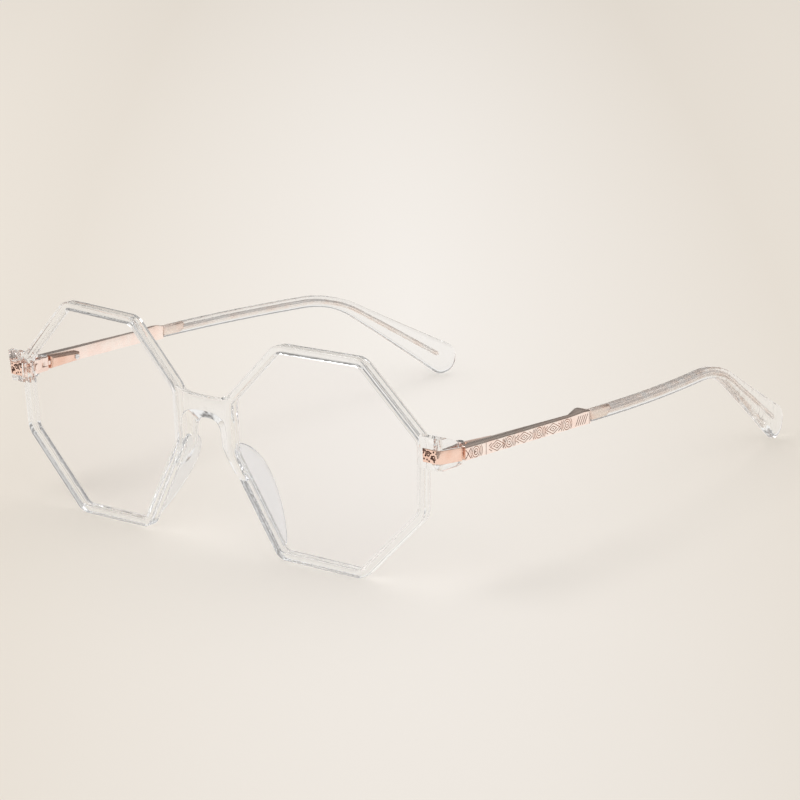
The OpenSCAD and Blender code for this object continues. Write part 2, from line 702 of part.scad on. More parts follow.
translate([0, -mid_y, 0]) front_frame();
placed(1) lens();  // lens_left
placed(-1) lens();  // lens_right
placed(1) nose_pad();  // nose_pad_left
placed(-1) nose_pad();  // nose_pad_right
placed(1) corner_plate();  // corner_plate_left
placed(-1) corner_plate();  // corner_plate_right
placed(1) hinge_leaf();  // hinge_leaf_left
placed(-1) hinge_leaf();  // hinge_leaf_right
placed(1) leaf_rivets();  // leaf_rivets_left
placed(-1) leaf_rivets();  // leaf_rivets_right
placed(1) hinge_screw();  // hinge_screw_left
placed(-1) hinge_screw();  // hinge_screw_right
placed(1) flex_slider();  // flex_slider_left
placed(-1) flex_slider();  // flex_slider_right
placed(1) flex_spring();  // flex_spring_left
placed(-1) flex_spring();  // flex_spring_right
placed(1) flex_housing();  // flex_housing_left
placed(-1) flex_housing();  // flex_housing_right
placed(1) housing_screw();  // housing_screw_left
placed(-1) housing_screw();  // housing_screw_right
placed(1) temple_bar();  // temple_bar_left
placed(-1) temple_bar();  // temple_bar_right
placed(1) core_wire();  // core_wire_left
placed(-1) core_wire();  // core_wire_right
placed(1) temple_tip();  // temple_tip_left
placed(-1) temple_tip();  // temple_tip_right
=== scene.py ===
# Octagonal eyeglasses: clear front and ear tips, engraved rose gold side bars.
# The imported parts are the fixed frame, and the pieces that show are modelled round them here.
import json
import math

import bmesh
import bpy
from mathutils import Matrix, Vector


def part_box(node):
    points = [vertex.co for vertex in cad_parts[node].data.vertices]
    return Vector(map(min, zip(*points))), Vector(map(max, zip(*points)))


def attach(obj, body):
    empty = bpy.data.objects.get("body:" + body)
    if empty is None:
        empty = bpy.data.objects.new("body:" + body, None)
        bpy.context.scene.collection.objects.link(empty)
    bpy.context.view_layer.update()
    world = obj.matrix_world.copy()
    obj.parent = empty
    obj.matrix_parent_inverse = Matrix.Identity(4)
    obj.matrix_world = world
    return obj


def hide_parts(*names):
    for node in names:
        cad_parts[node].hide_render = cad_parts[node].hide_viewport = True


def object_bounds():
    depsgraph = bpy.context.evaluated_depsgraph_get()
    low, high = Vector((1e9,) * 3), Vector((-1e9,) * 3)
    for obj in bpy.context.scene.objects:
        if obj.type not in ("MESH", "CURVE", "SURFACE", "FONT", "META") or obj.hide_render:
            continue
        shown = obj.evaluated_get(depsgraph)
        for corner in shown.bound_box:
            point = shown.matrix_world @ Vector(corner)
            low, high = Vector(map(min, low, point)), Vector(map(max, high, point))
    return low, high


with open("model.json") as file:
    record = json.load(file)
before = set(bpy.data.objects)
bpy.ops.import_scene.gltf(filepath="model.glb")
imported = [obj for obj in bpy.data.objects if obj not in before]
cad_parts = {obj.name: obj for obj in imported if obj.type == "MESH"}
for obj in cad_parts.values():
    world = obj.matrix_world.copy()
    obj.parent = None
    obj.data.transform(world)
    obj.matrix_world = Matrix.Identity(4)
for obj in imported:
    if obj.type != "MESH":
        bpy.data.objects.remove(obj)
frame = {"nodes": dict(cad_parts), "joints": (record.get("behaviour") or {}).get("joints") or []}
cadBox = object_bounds()
mm = 0.001
touch = 0.01 * mm  # closer than this counts as the same place
midY = cadBox[1].y  # the frame's origin is under the middle of the glasses
joints = {j["name"]: j for j in frame["joints"]}
pivot = Vector(joints["temple_fold_left"]["pos_m"])


# Small helpers for modelling

def activate(piece):
    bpy.ops.object.select_all(action="DESELECT")
    piece.select_set(True)
    bpy.context.view_layer.objects.active = piece


def add(kind, name, **settings):
    bpy.ops.object.select_all(action="DESELECT")
    getattr(bpy.ops.mesh, "primitive_" + kind + "_add")(**settings)
    piece = bpy.context.object
    piece.name = name
    return piece


def applyPlace(piece):
    activate(piece)
    bpy.ops.object.transform_apply(location=True, rotation=True, scale=True)


def block(name, low, high):
    # box between two corners, in metres
    low, high = Vector(low), Vector(high)
    piece = add("cube", name, size=1, location=(low + high) / 2)
    piece.scale = high - low
    applyPlace(piece)
    return piece


def rod(name, start, end, radius, sides=32):
    # cylinder from one point to another
    start, end = Vector(start), Vector(end)
    turn = (end - start).to_track_quat("Z", "Y").to_euler()
    piece = add("cylinder", name, vertices=sides, radius=radius, depth=(end - start).length,
                location=(start + end) / 2, rotation=turn)
    applyPlace(piece)
    return piece


def edit(piece, kind="VERT"):
    activate(piece)
    bpy.ops.object.mode_set(mode="EDIT")
    bpy.ops.mesh.select_mode(type=kind)
    bpy.ops.mesh.select_all(action="SELECT")


def pick(piece, kind, test):
    # in edit mode, selects the verts, edges or faces that pass the test
    bpy.ops.mesh.select_all(action="DESELECT")
    mesh = bmesh.from_edit_mesh(piece.data)
    for item in getattr(mesh, kind):
        if test(item):
            item.select_set(True)
    bmesh.update_edit_mesh(piece.data)


def leaveEdit():
    bpy.ops.object.mode_set(mode="OBJECT")


def cutBy(point, normal, **settings):
    # in edit mode, cuts the whole mesh by a plane
    bpy.ops.mesh.select_all(action="SELECT")
    bpy.ops.mesh.bisect(plane_co=point, plane_no=Vector(normal).normalized(), **settings)


def faceOut(piece):
    edit(piece)
    bpy.ops.mesh.normals_make_consistent(inside=False)
    leaveEdit()


def modify(piece, kind, **settings):
    activate(piece)
    modifier = piece.modifiers.new(kind.lower(), kind)
    for key, value in settings.items():
        setattr(modifier, key, value)
    bpy.ops.object.modifier_apply(modifier=modifier.name)


def soften(piece, width, segments=3, angle=40):
    modify(piece, "BEVEL", width=width, segments=segments, limit_method="ANGLE",
           angle_limit=math.radians(angle), use_clamp_overlap=True, harden_normals=False)


def combine(piece, other, operation, **settings):
    # boolean with another piece, which is used up
    modify(piece, "BOOLEAN", object=other, operation=operation, solver="EXACT", **settings)
    bpy.data.objects.remove(other)


def closeSlivers(piece):
    # tiny faces that a row of booleans can leave open
    edit(piece)
    bpy.ops.mesh.fill_holes(sides=4)
    leaveEdit()


def join(pieces, name):
    bpy.ops.object.select_all(action="DESELECT")
    for piece in pieces:
        piece.select_set(True)
    bpy.context.view_layer.objects.active = pieces[0]
    bpy.ops.object.join()
    pieces[0].name = name
    return pieces[0]


def smooth(piece, angle=32):
    activate(piece)
    bpy.ops.object.shade_smooth_by_angle(angle=math.radians(angle))


def tube(name, rings, sides, place):
    # cylinder whose rings and sides are put in place by a rule
    piece = add("cylinder", name, vertices=sides, radius=1, depth=2)
    edit(piece, "EDGE")
    pick(piece, "edges", lambda e: abs(e.verts[0].co.z - e.verts[1].co.z) > 1)
    bpy.ops.mesh.subdivide(number_cuts=rings - 2)
    leaveEdit()
    for vertex in piece.data.vertices:
        ring = round((vertex.co.z + 1) / 2 * (rings - 1))
        side = round(math.atan2(vertex.co.y, vertex.co.x) / (2 * math.pi) * sides) % sides
        vertex.co = place(ring, 2 * math.pi * side / sides)
    faceOut(piece)
    return piece


def mirrored(piece, name):
    # the same piece for the other side, with its own mesh
    activate(piece)
    bpy.ops.object.duplicate()
    twin = bpy.context.object
    twin.name = name
    twin.scale.x = -1
    applyPlace(twin)
    faceOut(twin)
    return twin


def atFront(x, y, z):
    # millimetres from the bridge's front face and the table
    return Vector((x * mm, y * mm - midY, z * mm))


def onSide(piece):
    # from the left bar's own frame, Y along the bar from the pivot, into the glasses' frame
    piece.matrix_world = Matrix.Translation(pivot) @ Matrix.Rotation(math.radians(-side["droop"]), 4, "X")
    applyPlace(piece)


# Materials

def linear(code):
    parts = [int(code[i:i + 2], 16) / 255 for i in (1, 3, 5)]
    return [p / 12.92 if p <= 0.04045 else ((p + 0.055) / 1.055) ** 2.4 for p in parts] + [1]


def addNode(tree, kind, inputs=None, **settings):
    made = tree.nodes.new("ShaderNode" + kind)
    for key, value in settings.items():
        setattr(made, key, value)
    for key, value in (inputs or {}).items():
        if isinstance(value, bpy.types.NodeSocket):
            tree.links.new(value, made.inputs[key])
        else:
            made.inputs[key].default_value = value
    return made


def startMaterial(name, inputs):
    material = bpy.data.materials.new(name)
    material.use_nodes = True
    tree = material.node_tree
    shader = tree.nodes["Principled BSDF"]
    for key, value in inputs.items():
        shader.inputs[key].default_value = value
    place = addNode(tree, "TexCoord").outputs["Object"]
    return material, tree, shader, place


def ramp(tree, value, stops):
    made = addNode(tree, "ValToRGB", {"Fac": value})
    band = made.color_ramp
    while len(band.elements) < len(stops):
        band.elements.new(0.5)
    for element, (position, colour) in zip(band.elements, stops):
        element.position = position
        element.color = colour
    return made.outputs["Color"]


def noise(tree, place, size, detail=2.0):
    return addNode(tree, "TexNoise", {"Vector": place, "Scale": 1 / size, "Detail": detail}).outputs["Fac"]


def setRoughness(tree, shader, value, reach, band=(0.3, 0.7)):
    # roughness that follows a noise: the band of its values is spread over the reach
    made = addNode(tree, "MapRange", {"Value": value, "From Min": band[0], "From Max": band[1],
                                      "To Min": reach[0], "To Max": reach[1]})
    tree.links.new(made.outputs["Result"], shader.inputs["Roughness"])


def setBump(tree, shader, height, strength, depth):
    made = addNode(tree, "Bump", {"Height": height, "Strength": strength, "Distance": depth})
    tree.links.new(made.outputs["Normal"], shader.inputs["Normal"])


acetate = {"tint": "#FDFEFF", "ior": 1.49, "waveSize": 2.6 * mm, "waveDepth": 0.1 * mm, "haze": (0.0, 0.02),
           "hazeBand": (0.45, 0.75), "coolness": "#D9E3EA", "density": 4.5}


def clearAcetate():
    # cellulose acetate, cut and tumble polished: glassy, a little cool in its depth, with faint waves
    material, tree, shader, place = startMaterial("clearAcetate", {
        "Base Color": linear(acetate["tint"]), "IOR": acetate["ior"], "Transmission Weight": 1.0})
    wave = noise(tree, place, acetate["waveSize"], 1.0)
    setRoughness(tree, shader, wave, acetate["haze"], acetate["hazeBand"])
    setBump(tree, shader, wave, 1.0, acetate["waveDepth"])
    depth = addNode(tree, "VolumeAbsorption", {"Color": linear(acetate["coolness"]), "Density": acetate["density"]})
    tree.links.new(depth.outputs["Volume"], tree.nodes["Material Output"].inputs["Volume"])
    return material


satin = {"tint": "#FCFDFF", "clear": 0.8, "shine": 0.15, "ior": 1.2, "roughness": (0.1, 0.15), "grit": 2.5 * mm,
         "gritDepth": 0.02 * mm}


def satinAcetate():
    # the same acetate, left satin by the tumbling drum where the skin rests on it: pale and a little milky
    material, tree, shader, place = startMaterial("satinAcetate", {
        "Base Color": linear(satin["tint"]), "IOR": satin["ior"], "Transmission Weight": satin["clear"],
        "Specular IOR Level": satin["shine"]})
    grit = noise(tree, place, satin["grit"])
    setRoughness(tree, shader, grit, satin["roughness"])
    setBump(tree, shader, grit, 0.1, satin["gritDepth"])
    return material


lensResin = {"tint": "#FEFEFF", "ior": 1.1, "film": "#F2FFF8", "shine": 0.08, "smear": 9 * mm,
             "roughness": (0.0, 0.012), "smearBand": (0.5, 0.8)}


def coatedLens():
    # CR-39 resin with an anti-reflection coat: its shine and its edge hardly show, as on a
    # thin display lens, so it bends light much less than 1.5
    material, tree, shader, place = startMaterial("coatedLensResin", {
        "Base Color": linear(lensResin["tint"]), "IOR": lensResin["ior"], "Transmission Weight": 1.0,
        "Specular IOR Level": lensResin["shine"], "Specular Tint": linear(lensResin["film"])})
    setRoughness(tree, shader, noise(tree, place, lensResin["smear"]), lensResin["roughness"], lensResin["smearBand"])
    return material


# rose gold plating: corner plates and spring housings, and a paler one on the side bars and core plates
roseGold = {"bright": "#F9D9C8", "deep": "#F2CBB7", "roughness": (0.2, 0.34), "grain": 0.09 * mm,
            "grainLength": 2.4 * mm}
paleRoseGold = {**roseGold, "bright": "#FFF2E9", "deep": "#FEE8DD"}
brushing = {"cloud": 4 * mm, "strength": 0.25, "depth": 0.01 * mm}


def brushedMetal(name, finish):
    # plated metal, brushed along its length and polished: fine grain, satin shine
    material, tree, shader, place = startMaterial(name, {"Metallic": 1.0})
    stretch = addNode(tree, "Mapping", {"Vector": place, "Scale": (
        1 / finish["grain"], 1 / finish["grainLength"], 1 / finish["grain"])})
    grain = noise(tree, stretch.outputs["Vector"], 1.0)
    cloud = noise(tree, place, brushing["cloud"])
    colour = ramp(tree, cloud, [(0.35, linear(finish["deep"])), (0.6, linear(finish["bright"]))])
    tree.links.new(colour, shader.inputs["Base Color"])
    setRoughness(tree, shader, grain, finish["roughness"])
    setBump(tree, shader, grain, brushing["strength"], brushing["depth"])
    return material


# fine ornament on the bars, and the deeper scroll on the plates
engraving = {"dark": "#A87C67", "light": "#DEBBA8", "roughness": 0.42, "speck": 0.3 * mm}
scrollInk = {"dark": "#38201A", "light": "#7A4B3A", "roughness": 0.5, "speck": 0.25 * mm}


def engravedPatina(name, finish):
    # the bottom of the cut lines, where polish and oxide stay: brown and dull
    material, tree, shader, place = startMaterial(name, {"Metallic": 1.0, "Roughness": finish["roughness"]})
    speck = noise(tree, place, finish["speck"])
    colour = ramp(tree, speck, [(0.4, linear(finish["dark"])), (0.65, linear(finish["light"]))])
    tree.links.new(colour, shader.inputs["Base Color"])
    return material


# drawn core wire, plated hinge parts seen through the clear lug, turned screws and the coil springs
coreMetal = {"bright": "#FFFBF8", "deep": "#FBEFE8", "roughness": (0.18, 0.3), "grain": 0.12 * mm,
             "grainLength": 3 * mm}
platedHinge = {"bright": "#FFEFE6", "deep": "#F6DCCF", "roughness": (0.2, 0.34), "grain": 0.06 * mm,
               "grainLength": 0.8 * mm}
nickelSilver = {**platedHinge, "bright": "#F1F0EF", "deep": "#DCDBDC", "roughness": (0.18, 0.34)}
springWire = {"bright": "#B5B5BA", "deep": "#97979D", "roughness": (0.2, 0.3), "grain": 0.05 * mm,
              "grainLength": 0.5 * mm}

materials = {
    "clear_frame": clearAcetate(),
    "satin_pad": satinAcetate(),
    "clear_lens": coatedLens(),
    "rose_gold": brushedMetal("brushedRoseGold", roseGold),
    "bar_gold": brushedMetal("paleRoseGold", paleRoseGold),
    "core_metal": brushedMetal("drawnCoreWire", coreMetal),
    "steel": brushedMetal("turnedNickelSilver", nickelSilver),
    "hinge": brushedMetal("platedHinge", platedHinge),
    "spring_steel": brushedMetal("springWire", springWire),
    "patina": engravedPatina("engravedPatina", engraving),
    "scroll": engravedPatina("darkScrollPatina", scrollInk),
}
materials["clear_tip"] = materials["clear_frame"]
print("materials made")


def finishPiece(piece, body, slotName, *nodes):
    # finish and body for a modelled piece, and hides the imported nodes it stands for
    if not piece.data.materials:
        piece.data.materials.append(materials[slotName])
    piece.visible_shadow = not slotName.startswith("clear")  # clear plastic lets the light through
    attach(piece, body)
    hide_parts(*nodes)


def bothSides(piece, name, body, slotName, *nodes):
    # the left piece and its mirror image, each on its own body
    twin = mirrored(piece, name + "Right")
    piece.name = name + "Left"
    for made, sideName in ((piece, "left"), (twin, "right")):
        finishPiece(made, body.replace("SIDE", sideName), slotName, *[n + "_" + sideName for n in nodes])


# Front: rims, bridge and lugs, in millimetres from the bridge's front

rim = {"noseX": 7.6, "sideX": 66.0, "rise": 52.6, "face": 2.1, "depth": 3.0, "wrap": 4.0, "cornerReach": 1.86,
       "cornerSteps": 8, "edgeRadius": 0.5, "grooveWidth": 1.1, "grooveDepth": 0.6,
       "cutTopNose": (15.6, 14.9), "cutTopSide": (17.3, 16.7), "cutLowSide": (19.7, 17.7), "cutLowNose": (14.0, 23.9),
       "sideLean": 0.9, "soleLift": 0.8}


def rimCorners():
    # the octagon's corners as x and z, clockwise from the upper nose corner
    nose, side, rise = rim["noseX"], rim["sideX"], rim["rise"]
    return [(nose + rim["cutTopNose"][0], rise), (side - rim["cutTopSide"][0], rise),
            (side, rise - rim["cutTopSide"][1]), (side - rim["sideLean"], rim["cutLowSide"][1]),
            (side - rim["cutLowSide"][0], 0), (nose + rim["cutLowNose"][0], rim["soleLift"]),
            (nose, rim["cutLowNose"][1]), (nose, rise - rim["cutTopNose"][1])]


def octagonSheet(name, inset):
    # a flat sheet cut to the rim's outline, with soft corners, then drawn in by inset
    corners = rimCorners()
    nose, side, rise = rim["noseX"], rim["sideX"], rim["rise"]
    sheet = add("plane", name, size=1, location=((nose + side) / 2 * mm, 0, rise / 2 * mm),
                rotation=(math.pi / 2, 0, 0))
    sheet.scale = ((side - nose) * mm, rise * mm, 1)
    applyPlace(sheet)
    edit(sheet)
    for (ax, az), (bx, bz) in zip(corners, corners[1:] + corners[:1]):
        if (ax, bx) == (nose, nose) or (az, bz) == (rise, rise):
            continue  # the sheet's own edges
        cutBy((ax * mm, 0, az * mm), (az - bz, 0, bx - ax), clear_outer=True)
    bpy.ops.mesh.select_all(action="SELECT")
    bpy.ops.mesh.bevel(offset=rim["cornerReach"] * mm, segments=rim["cornerSteps"], affect="VERTICES")
    if inset:
        bpy.ops.mesh.select_mode(type="FACE")
        bpy.ops.mesh.select_all(action="SELECT")
        bpy.ops.mesh.inset(thickness=inset * mm, use_even_offset=True)
        bpy.ops.mesh.select_all(action="INVERT")
        bpy.ops.mesh.delete(type="FACE")
    leaveEdit()
    return sheet


rimDrop = 0.058 * mm  # the soft lower corner is cut off by this much


def onRim(piece):
    # from the rim's flat plane to its place, turned back from the bridge
    turn = Matrix.Rotation(math.radians(rim["wrap"]), 4, "Z")
    nose = Matrix.Translation((rim["noseX"] * mm, 0, 0))
    piece.matrix_world = Matrix.Translation((0, -midY, -rimDrop)) @ nose @ turn @ nose.inverted()
    applyPlace(piece)


def buildRim():
    ring = octagonSheet("rim", 0)
    edit(ring, "FACE")
    bpy.ops.mesh.inset(thickness=rim["face"] * mm, use_even_offset=True)
    bpy.ops.mesh.delete(type="FACE")
    leaveEdit()
    modify(ring, "SOLIDIFY", thickness=rim["depth"] * mm, offset=-1, use_even_offset=True)
    faceOut(ring)
    # lens groove, let into the inner wall
    centre = Vector((sum(x for x, z in rimCorners()) / 8, 0, sum(z for x, z in rimCorners()) / 8)) * mm
    edit(ring, "FACE")
    pick(ring, "faces", lambda f: abs(f.normal.y) < 0.1
         and (centre - f.calc_center_median()).dot(f.normal) > 0)
    land = (rim["depth"] - rim["grooveWidth"]) / 2
    bpy.ops.mesh.inset(thickness=land * mm, use_even_offset=True)
    bpy.ops.mesh.inset(thickness=(rim["grooveWidth"] / 2 - 0.05) * mm, depth=-rim["grooveDepth"] * mm,
                       use_even_offset=True)  # a V with a narrow flat at its bottom
    leaveEdit()
    soften(ring, rim["edgeRadius"] * mm, 4, 60)
    onRim(ring)
    return ring


bridge = {"top": 37.3, "backTop": 36.5, "recess": 0.35, "frontBack": 0.8, "saddleFront": 1.8, "saddleBack": 2.9,
          "arch": 33.5, "archDrop": 3.7, "archHalf": 7.2, "saddle": 31.4, "saddleDrop": 4.0, "saddleHalf": 4.2,
          "archSteps": 16, "archPower": 0.75, "edgeRadius": 0.3, "topRun": 1.8, "topRise": 0.2,
          # how the lines run on down the nose side: height from the rim's bend, and how far into the rim
          "foot": -6.6, "legHeights": (1.1, -1.3, -4.6), "upperHeights": (2.6, 0.1, -3.3, -5.6), "legIn": 0.7,
          "upperIn": 1.2, "saddleSpread": (0.3, 1.6, 4.0)}


def softTurn(angle, power):
    # a point on a squarish round
    c, s = math.cos(angle), math.sin(angle)
    return math.copysign(abs(c) ** power, c), math.copysign(abs(s) ** power, s)


def rimX(z):
    # nose side of the rim's outline at height z
    nose, (run, high) = rim["noseX"], rim["cutLowNose"]
    return nose + max(high - z, 0) * run / (high - rim["soleLift"])


def blend(points, share):
    # point at a share of the way along a list of points
    place = share * (len(points) - 1)
    k = min(int(place), len(points) - 2)
    (ax, az), (bx, bz) = points[k], points[k + 1]
    return ax + (bx - ax) * (place - k), az + (bz - az) * (place - k)


def buildBridge():
    steps, low = bridge["archSteps"], rim["cutLowNose"][1]
    cornerZ = rim["rise"] - rim["cutTopNose"][1]
    foot = (rimX(low + bridge["foot"]) + 0.3, low + bridge["foot"])

    def arch(half, top, drop):
        turns = [softTurn(math.pi / 2 * (1 - k / steps), bridge["archPower"]) for k in range(steps + 1)]
        return [(half * c, top - drop + drop * s) for c, s in turns]

    front = arch(bridge["archHalf"], bridge["arch"], bridge["archDrop"]) + [
        (rimX(low + d) + bridge["legIn"], low + d) for d in bridge["legHeights"]] + [foot]
    back = arch(bridge["saddleHalf"], bridge["saddle"], bridge["saddleDrop"]) + [
        (min(bridge["saddleHalf"] + out, rimX(low + d) + bridge["legIn"]), low + d)
        for out, d in zip(bridge["saddleSpread"], bridge["legHeights"])] + [foot]

    def upper(top):
        # the bridge's top edge, slightly hollow, then past the rim's upper nose corner
        nose, inside = rim["noseX"], rim["noseX"] + bridge["upperIn"]
        edge = [((nose - bridge["topRun"]) * k / 4, top + bridge["topRise"] * (k / 4) ** 2) for k in range(5)]
        edge += [(nose - 0.2, top + 0.7), (nose + 2, cornerZ + 1), (inside, cornerZ - 1.7),
                 (inside, bridge["arch"] - 2)]
        return [blend(edge, k / steps) for k in range(steps + 1)] + [
            (rimX(low + d) + bridge["upperIn"], low + d) for d in bridge["upperHeights"]]

    frontUp, backUp = upper(bridge["top"]), upper(bridge["backTop"])
    section = [(front, "recess"), (front, "frontBack"), (back, "saddleFront"), (back, "saddleBack"),
               (backUp, "saddleBack"), (backUp, "saddleFront"), (frontUp, "frontBack"), (frontUp, "recess")]
    last = len(front) - 1

    def place(ring, turn):
        line, depth = section[round(turn / (2 * math.pi) * len(section)) % len(section)]
        x, z = line[abs(ring - last)]
        return atFront(math.copysign(x, ring - last), bridge[depth], z) - Vector((0, 0, rimDrop))

    web = tube("bridge", 2 * last + 1, len(section), place)
    soften(web, bridge["edgeRadius"] * mm, 3, 50)
    return web


lug = {"side": 70.458, "thick": 3.0, "rear": 64.6, "front": 3.97, "back": 11.574, "shoulder": 6.97, "top": 37.44,
       "foot": 28.84, "cornerRadius": 1.6, "sideCut": 0.8, "edgeRadius": 0.4,
       "crown": (1.1, 3.9), "crownFall": 1.3, "rearTop": 34.7, "rearFoot": 29.5}
plate = {"proud": 0.15, "thick": 0.8, "height": 3.2, "arm": 4.9, "frontZ": 32.7, "backZ": 31.75, "bed": 0.02,
         "edgeRadius": 0.12, "cornerSteps": 10, "endFlat": 0.35}
scroll = {"width": 0.3, "shift": 0.6, "turn": 0.54, "lift": 0.35, "fall": 0.3,
          "halves": ((-1.7, 0.66), (-0.1, 0.72), (1.5, 0.66)), "eyes": ((-1.7, 0.34), (-0.1, 0.36), (1.5, 0.34)),
          "budRadius": 0.24, "buds": ((-0.95, 1.15), (-0.95, 0.0), (0.7, 0.75), (0.7, -0.45), (-2.2, -0.35),
                                      (-1.4, -0.75), (-0.5, -0.85), (0.1, -1.15), (1.6, -1.1), (2.2, 0.75), (1.5, 1.1))}
rivet = {"radius": 0.5, "room": 0.04, "places": (8.12, 10.32)}


def buildLug():
    body = block("lug", atFront(lug["side"] - lug["thick"], lug["front"], lug["foot"]),
                 atFront(lug["side"], lug["back"], lug["top"]))
    edit(body)
    cutBy(atFront(0, lug["shoulder"], 0), (0, 1, 0))
    bpy.ops.mesh.select_mode(type="FACE")
    shoulder = atFront(0, lug["shoulder"], 0).y
    pick(body, "faces", lambda f: f.normal.x < -0.9 and f.calc_center_median().y < shoulder)
    bpy.ops.mesh.extrude_region_move(TRANSFORM_OT_translate={
        "value": ((lug["rear"] - lug["side"] + lug["thick"]) * mm, 0, 0)})
    # slope the top down towards the hinge, and the foot up behind it
    y, top, foot = lug["front"], lug["top"], lug["foot"]
    crest, fallen = y + lug["crown"][0], (y + lug["crown"][1], top - lug["crownFall"])
    cuts = [((crest, top), fallen), (fallen, (lug["back"], lug["rearTop"])),
            ((lug["back"], lug["rearFoot"]), (lug["back"] - 1, foot + 0.1)), ((y - 0.1, top - 0.5), (crest, top)),
            ((y + 3.5, foot), (y - 0.1, foot + 0.7))]
    for (ay, az), (by, bz) in cuts:
        cutBy(atFront(0, ay, az), (0, az - bz, by - ay), clear_outer=True, use_fill=True)
    for z, way in ((top, 1), (foot, -1)):  # chamfers of the side face
        cutBy(atFront(lug["side"] - lug["sideCut"], 0, z), (1, 0, way), clear_outer=True, use_fill=True)
    leaveEdit()
    faceOut(body)
    # round front corner, then all the other edges
    edit(body, "EDGE")
    cornerX, cornerY = lug["side"] * mm, atFront(0, lug["front"], 0).y
    pick(body, "edges", lambda e: all(abs(v.co.x - cornerX) < touch and abs(v.co.y - cornerY) < touch
                                      for v in e.verts))
    bpy.ops.mesh.bevel(offset=lug["cornerRadius"] * mm, segments=8, affect="EDGES")
    leaveEdit()
    soften(body, lug["edgeRadius"] * mm, 3, 30)
    return body


def plateStrip(name, grow):
    # flat strip bent round the lug's corner, grown all round by grow
    outer, half = plate["proud"], plate["height"] / 2 + grow
    thick = plate["thick"] + grow
    front = lug["front"] - outer
    # section of the front arm, facing the corner
    start = lug["side"] - plate["arm"] - grow
    strip = add("plane", name, size=1, location=atFront(start, front + thick / 2, plate["frontZ"]),
                rotation=(0, math.pi / 2, 0))
    strip.scale = (2 * half * mm, thick * mm, 1)
    applyPlace(strip)
    # bend round the corner, then the side arm
    cornerX, cornerY = lug["side"] - lug["cornerRadius"], lug["front"] + lug["cornerRadius"]
    edit(strip, "FACE")
    bpy.ops.mesh.extrude_region_move(TRANSFORM_OT_translate={"value": ((cornerX - start) * mm, 0, 0)})
    bpy.ops.mesh.spin(steps=plate["cornerSteps"], angle=-math.pi / 2,
                      center=atFront(cornerX, cornerY, plate["frontZ"]), axis=(0, 0, 1))
    bpy.ops.mesh.extrude_region_move(TRANSFORM_OT_translate={
        "value": (0, (lug["back"] - cornerY + (1 if grow else 0)) * mm, 0)})
    bpy.ops.mesh.select_all(action="SELECT")
    bpy.ops.mesh.remove_doubles(threshold=0.001 * mm)
    bpy.ops.mesh.normals_make_consistent(inside=False)
    leaveEdit()
    # the strip runs down a little towards the hinge
    fall = (plate["backZ"] - plate["frontZ"]) / (lug["back"] - front)
    base = atFront(0, front, 0).y
    for vertex in strip.data.vertices:
        vertex.co.z += (vertex.co.y - base) * fall
    return strip


def rivetHoles(radius, reach):
    return join([rod("hole", atFront(lug["side"] - lug["thick"] - 1, y, plate["backZ"]),
                     atFront(lug["side"] + reach, y, plate["backZ"]), radius * mm) for y in rivet["places"]], "holes")


def buildFront():
    left = buildRim()
    combine(left, buildLug(), "UNION")
    combine(left, plateStrip("plateRoom", plate["bed"]), "DIFFERENCE")
    combine(left, rivetHoles(rivet["radius"] + rivet["room"], 1), "DIFFERENCE")
    right = mirrored(left, "rimRight")
    combine(left, buildBridge(), "UNION")
    combine(left, right, "UNION")
    closeSlivers(left)
    left.name = "clearFront"
    smooth(left, 30)
    finishPiece(left, "front", "clear_frame", "front_frame")
    print("front made")


def ringTool(name, radius, width, place, stretch=1.0, corners=40):
    # ring-shaped cutter, standing in the YZ plane
    made = add("torus", name, major_radius=radius * mm, minor_radius=width / 2 * mm, major_segments=corners,
               minor_segments=6, rotation=(0, math.pi / 2, 0))
    applyPlace(made)
    made.scale.y = stretch
    made.location = place
    applyPlace(made)
    return made


def buildCornerPlate():
    strip = plateStrip("cornerPlate", 0)
    edit(strip)
    cutBy(atFront(0, lug["back"] - plate["endFlat"], 0), (0, 1, 0))  # keeps the flat side flat up to its soft end
    leaveEdit()
    soften(strip, plate["edgeRadius"] * mm, 2, 60)
    # scroll: half curls with an eye each, and buds, cut in the front arm
    middle, face = lug["side"] - plate["arm"] / 2 - scroll["shift"], lug["front"] - plate["proud"]
    tools = []
    for x, radius in scroll["halves"] + scroll["eyes"]:
        curl = ringTool("curl", radius, scroll["width"], (0, 0, 0))
        if (x, radius) in scroll["halves"]:
            away = math.copysign(1, x)
            combine(curl, block("half", Vector((-1, -1, min(away, 0))) * mm, Vector((1, 1, max(away, 0))) * mm),
                    "DIFFERENCE")
        curl.rotation_euler = (math.copysign(scroll["turn"], x), 0, math.pi / 2)
        applyPlace(curl)
        curl.location = atFront(middle + x, face, plate["frontZ"] + scroll["lift"] - scroll["fall"] * x)
        applyPlace(curl)
        tools.append(curl)
    for x, z in scroll["buds"]:
        tools.append(add("ico_sphere", "bud", subdivisions=2, radius=scroll["budRadius"] * mm,
                         location=atFront(middle + x, face, plate["frontZ"] + z)))
    strip.data.materials.append(materials["rose_gold"])
    for tool in tools:
        tool.data.materials.append(materials["scroll"])
        combine(strip, tool, "DIFFERENCE", material_mode="TRANSFER")
    combine(strip, rivetHoles(rivet["radius"] + rivet["room"], -0.25), "DIFFERENCE")
    closeSlivers(strip)
    smooth(strip)
    bothSides(strip, "cornerPlate", "front", "rose_gold", "corner_plate")
    print("corner plates made")


lens = {"thick": 1.4, "inset": 2.2, "edgeOut": 0.5}


